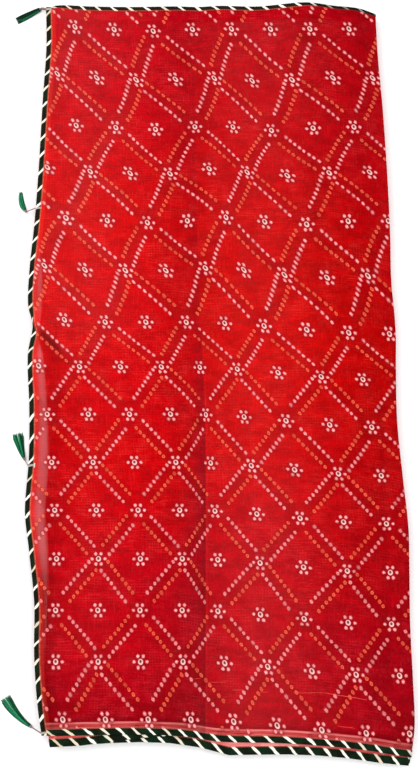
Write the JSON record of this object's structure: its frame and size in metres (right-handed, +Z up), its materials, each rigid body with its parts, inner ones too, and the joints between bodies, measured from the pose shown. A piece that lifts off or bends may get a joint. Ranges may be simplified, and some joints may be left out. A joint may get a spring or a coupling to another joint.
{
  "type": "folded sari",
  "caption": "Sheer printed sari folded back and forth into a tall flat panel, with striped bound edges and tassels on its end.",
  "frame": {"origin": "centre of the bounding box's bottom face, on the surface the folded sari lies on", "axes": "+Y along the long side towards the upper bound edge, +X across it towards the folded side, +Z up"},
  "size_m": [0.6065, 1.1728, 0.0192],
  "materials": {
    "cloth": "sheer matte cotton and silk check, printed",
    "binding": "soft satin with cream slanted stripes",
    "tassel": "silky thread"
  },
  "bodies": {
    "root": {"sari_cloth": "cloth", "lower_edge_binding": "binding", "upper_edge_binding": "binding", "end_binding": "binding", "tassel_upper_corner": "tassel", "tassel_upper_side": "tassel", "tassel_lower_side": "tassel", "tassel_lower_corner": "tassel"}
  },
  "joints": []
}
